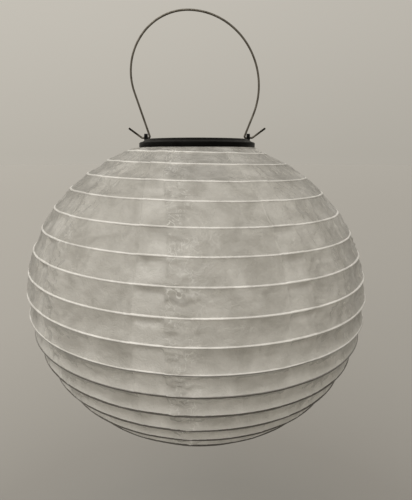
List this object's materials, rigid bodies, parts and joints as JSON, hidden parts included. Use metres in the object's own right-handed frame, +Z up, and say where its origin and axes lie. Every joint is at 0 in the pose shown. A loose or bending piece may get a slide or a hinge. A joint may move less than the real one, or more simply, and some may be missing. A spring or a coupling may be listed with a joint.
{
  "type": "hanging fabric solar lantern",
  "caption": "Round crinkled white fabric lantern on level wire hoops that folds flat, with a black solar cap and a swinging bent-wire handle.",
  "frame": {"origin": "inside of the handle's loop, straight above the cap's middle, where the lantern hangs; the loop's own top is 7.5 mm to the left of it and 0.5 mm higher", "axes": "+Z up; X through the two lugs that the handle turns in, with the lantern hanging straight down"},
  "size_m": [0.3088, 0.3088, 0.3764],
  "materials": {
    "steel": "dull drawn steel wire",
    "rib_steel": "thin bright steel wire inside the fabric",
    "fabric": "crinkled thin white nylon, slightly translucent",
    "black_plastic": "black moulded plastic, low sheen",
    "solar_cell": "dark blue silicon with silver grid lines",
    "clear_resin": "clear cast resin",
    "circuit_board": "green solder mask",
    "cell_wrap": "plain green sleeve",
    "nickel": "nickel plated",
    "lamp_clear": "clear epoxy lamp",
    "diffuser_white": "frosted white plastic"
  },
  "bodies": {
    "handle": {"handle_wire": "steel"},
    "cap": {"cap_housing": "black_plastic", "cap_base": "black_plastic", "solar_cell": "solar_cell", "panel_cover": "clear_resin", "circuit_board": "circuit_board", "battery_cell": "cell_wrap", "battery_spring": "nickel", "battery_contact": "nickel", "led_lamp": "lamp_clear", "led_diffuser": "diffuser_white", "switch_body": "black_plastic", "cap_screw_1": "nickel", "cap_screw_2": "nickel", "cap_screw_3": "nickel", "top_hoop": "rib_steel", "expander": "steel"},
    "battery_door": {"battery_door": "black_plastic"},
    "switch_slider": {"switch_slider": "black_plastic"},
    "rib_01": {"rib_hoop_01": "rib_steel", "shade_panel_01": "fabric"},
    "rib_02": {"rib_hoop_02": "rib_steel", "shade_panel_02": "fabric"},
    "rib_03": {"rib_hoop_03": "rib_steel", "shade_panel_03": "fabric"},
    "rib_04": {"rib_hoop_04": "rib_steel", "shade_panel_04": "fabric"},
    "rib_05": {"rib_hoop_05": "rib_steel", "shade_panel_05": "fabric"},
    "rib_06": {"rib_hoop_06": "rib_steel", "shade_panel_06": "fabric"},
    "rib_07": {"rib_hoop_07": "rib_steel", "shade_panel_07": "fabric"},
    "rib_08": {"rib_hoop_08": "rib_steel", "shade_panel_08": "fabric"},
    "rib_09": {"rib_hoop_09": "rib_steel", "shade_panel_09": "fabric"},
    "rib_10": {"rib_hoop_10": "rib_steel", "shade_panel_10": "fabric"},
    "rib_11": {"rib_hoop_11": "rib_steel", "shade_panel_11": "fabric"},
    "rib_12": {"rib_hoop_12": "rib_steel", "shade_panel_12": "fabric"},
    "rib_13": {"rib_hoop_13": "rib_steel", "shade_panel_13": "fabric"},
    "rib_14": {"rib_hoop_14": "rib_steel", "shade_panel_14": "fabric"},
    "rib_15": {"rib_hoop_15": "rib_steel", "shade_panel_15": "fabric"},
    "rib_16": {"rib_hoop_16": "rib_steel", "shade_panel_16": "fabric"},
    "rib_17": {"rib_hoop_17": "rib_steel", "shade_panel_17": "fabric"},
    "rib_18": {"rib_hoop_18": "rib_steel", "shade_panel_18": "fabric"},
    "bottom_hoop": {"bottom_hoop": "rib_steel", "shade_panel_19": "fabric"}
  },
  "joints": [
    {"name": "handle_swing", "type": "hinge", "parent": "handle", "child": "cap", "pos_m": [0, 0, -0.10425], "axis": [1, 0, 0], "range_deg": [-90, 90]},
    {"name": "door_slide", "type": "slide", "parent": "cap", "child": "battery_door", "axis": [0, -1, 0], "range_m": [0, 0.014]},
    {"name": "switch_slide", "type": "slide", "parent": "cap", "child": "switch_slider", "axis": [1, 0, 0], "range_m": [0, 0.0035]},
    {"name": "shade_fold", "type": "slide", "parent": "cap", "child": "bottom_hoop", "axis": [0, 0, 1], "range_m": [0, 0.22179], "deforming": ["shade_panel_19", "expander"]},
    {"name": "rib_01_fold", "type": "slide", "parent": "cap", "child": "rib_01", "axis": [0, 0, 1], "range_m": [0, 0.00162], "deforming": ["shade_panel_01"]},
    {"name": "rib_02_fold", "type": "slide", "parent": "cap", "child": "rib_02", "axis": [0, 0, 1], "range_m": [0, 0.00809], "deforming": ["shade_panel_02"]},
    {"name": "rib_03_fold", "type": "slide", "parent": "cap", "child": "rib_03", "axis": [0, 0, 1], "range_m": [0, 0.01744], "deforming": ["shade_panel_03"]},
    {"name": "rib_04_fold", "type": "slide", "parent": "cap", "child": "rib_04", "axis": [0, 0, 1], "range_m": [0, 0.02781], "deforming": ["shade_panel_04"]},
    {"name": "rib_05_fold", "type": "slide", "parent": "cap", "child": "rib_05", "axis": [0, 0, 1], "range_m": [0, 0.04137], "deforming": ["shade_panel_05"]},
    {"name": "rib_06_fold", "type": "slide", "parent": "cap", "child": "rib_06", "axis": [0, 0, 1], "range_m": [0, 0.05618], "deforming": ["shade_panel_06"]},
    {"name": "rib_07_fold", "type": "slide", "parent": "cap", "child": "rib_07", "axis": [0, 0, 1], "range_m": [0, 0.07157], "deforming": ["shade_panel_07"]},
    {"name": "rib_08_fold", "type": "slide", "parent": "cap", "child": "rib_08", "axis": [0, 0, 1], "range_m": [0, 0.08797], "deforming": ["shade_panel_08"]},
    {"name": "rib_09_fold", "type": "slide", "parent": "cap", "child": "rib_09", "axis": [0, 0, 1], "range_m": [0, 0.10422], "deforming": ["shade_panel_09"]},
    {"name": "rib_10_fold", "type": "slide", "parent": "cap", "child": "rib_10", "axis": [0, 0, 1], "range_m": [0, 0.1214], "deforming": ["shade_panel_10"]},
    {"name": "rib_11_fold", "type": "slide", "parent": "cap", "child": "rib_11", "axis": [0, 0, 1], "range_m": [0, 0.137], "deforming": ["shade_panel_11"]},
    {"name": "rib_12_fold", "type": "slide", "parent": "cap", "child": "rib_12", "axis": [0, 0, 1], "range_m": [0, 0.15273], "deforming": ["shade_panel_12"]},
    {"name": "rib_13_fold", "type": "slide", "parent": "cap", "child": "rib_13", "axis": [0, 0, 1], "range_m": [0, 0.16795], "deforming": ["shade_panel_13"]},
    {"name": "rib_14_fold", "type": "slide", "parent": "cap", "child": "rib_14", "axis": [0, 0, 1], "range_m": [0, 0.18179], "deforming": ["shade_panel_14"]},
    {"name": "rib_15_fold", "type": "slide", "parent": "cap", "child": "rib_15", "axis": [0, 0, 1], "range_m": [0, 0.19398], "deforming": ["shade_panel_15"]},
    {"name": "rib_16_fold", "type": "slide", "parent": "cap", "child": "rib_16", "axis": [0, 0, 1], "range_m": [0, 0.20435], "deforming": ["shade_panel_16"]},
    {"name": "rib_17_fold", "type": "slide", "parent": "cap", "child": "rib_17", "axis": [0, 0, 1], "range_m": [0, 0.21277], "deforming": ["shade_panel_17"]},
    {"name": "rib_18_fold", "type": "slide", "parent": "cap", "child": "rib_18", "axis": [0, 0, 1], "range_m": [0, 0.21857], "deforming": ["shade_panel_18"]}
  ],
  "couplings": [
    {"joint": "rib_01_fold", "follows": "shade_fold", "ratio": 0.007311},
    {"joint": "rib_02_fold", "follows": "shade_fold", "ratio": 0.036452},
    {"joint": "rib_03_fold", "follows": "shade_fold", "ratio": 0.078622},
    {"joint": "rib_04_fold", "follows": "shade_fold", "ratio": 0.12539},
    {"joint": "rib_05_fold", "follows": "shade_fold", "ratio": 0.18652},
    {"joint": "rib_06_fold", "follows": "shade_fold", "ratio": 0.25328},
    {"joint": "rib_07_fold", "follows": "shade_fold", "ratio": 0.32268},
    {"joint": "rib_08_fold", "follows": "shade_fold", "ratio": 0.39664},
    {"joint": "rib_09_fold", "follows": "shade_fold", "ratio": 0.4699},
    {"joint": "rib_10_fold", "follows": "shade_fold", "ratio": 0.54736},
    {"joint": "rib_11_fold", "follows": "shade_fold", "ratio": 0.61771},
    {"joint": "rib_12_fold", "follows": "shade_fold", "ratio": 0.68861},
    {"joint": "rib_13_fold", "follows": "shade_fold", "ratio": 0.75724},
    {"joint": "rib_14_fold", "follows": "shade_fold", "ratio": 0.81962},
    {"joint": "rib_15_fold", "follows": "shade_fold", "ratio": 0.87461},
    {"joint": "rib_16_fold", "follows": "shade_fold", "ratio": 0.92138},
    {"joint": "rib_17_fold", "follows": "shade_fold", "ratio": 0.95935},
    {"joint": "rib_18_fold", "follows": "shade_fold", "ratio": 0.98546}
  ]
}
